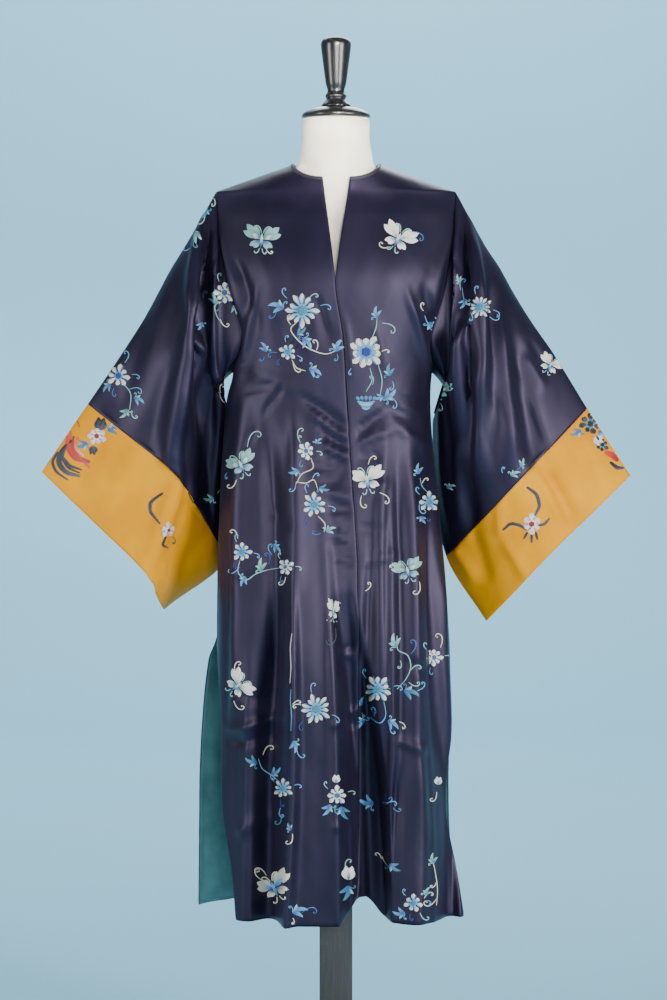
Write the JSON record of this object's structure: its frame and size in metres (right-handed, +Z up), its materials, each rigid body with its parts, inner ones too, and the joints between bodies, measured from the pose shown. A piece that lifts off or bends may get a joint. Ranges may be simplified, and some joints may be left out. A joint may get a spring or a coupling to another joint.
{
  "type": "embroidered silk robe on a dress form stand",
  "caption": "Wide-sleeved embroidered silk robe with contrast cuffs and side vents, worn by a limbless dress form on a column stand with a round base.",
  "frame": {"origin": "middle of the base's underside, on the floor", "axes": "+Z up along the column, -Y out of the robe's front, +X to the right of someone who faces the front"},
  "size_m": [0.9693, 0.44, 1.695],
  "materials": {
    "navy_silk": "navy silk satin with a soft broad sheen, embroidered with blue and white silk flowers, leaves and butterflies",
    "gold_silk": "golden yellow silk satin with embroidered flowers and plumes",
    "teal_lining": "thin teal lining silk, slightly creased",
    "dark_binding": "narrow matt black bias binding",
    "form_cloth": "cream cotton jersey stretched smooth over the form",
    "black_wood": "turned wood with satin black lacquer",
    "black_column": "flat-sided wooden column and base in satin black paint, slightly worn"
  },
  "bodies": {
    "root": {"front_left": "navy_silk", "front_right": "navy_silk", "back_left": "navy_silk", "back_right": "navy_silk", "sleeve_left": "navy_silk", "sleeve_right": "navy_silk", "cuff_left": "gold_silk", "cuff_right": "gold_silk", "lining_left": "teal_lining", "lining_right": "teal_lining", "neck_binding": "dark_binding", "form_torso": "form_cloth", "neck_cap": "black_wood", "finial": "black_wood", "column": "black_column", "base": "black_column"}
  },
  "joints": []
}
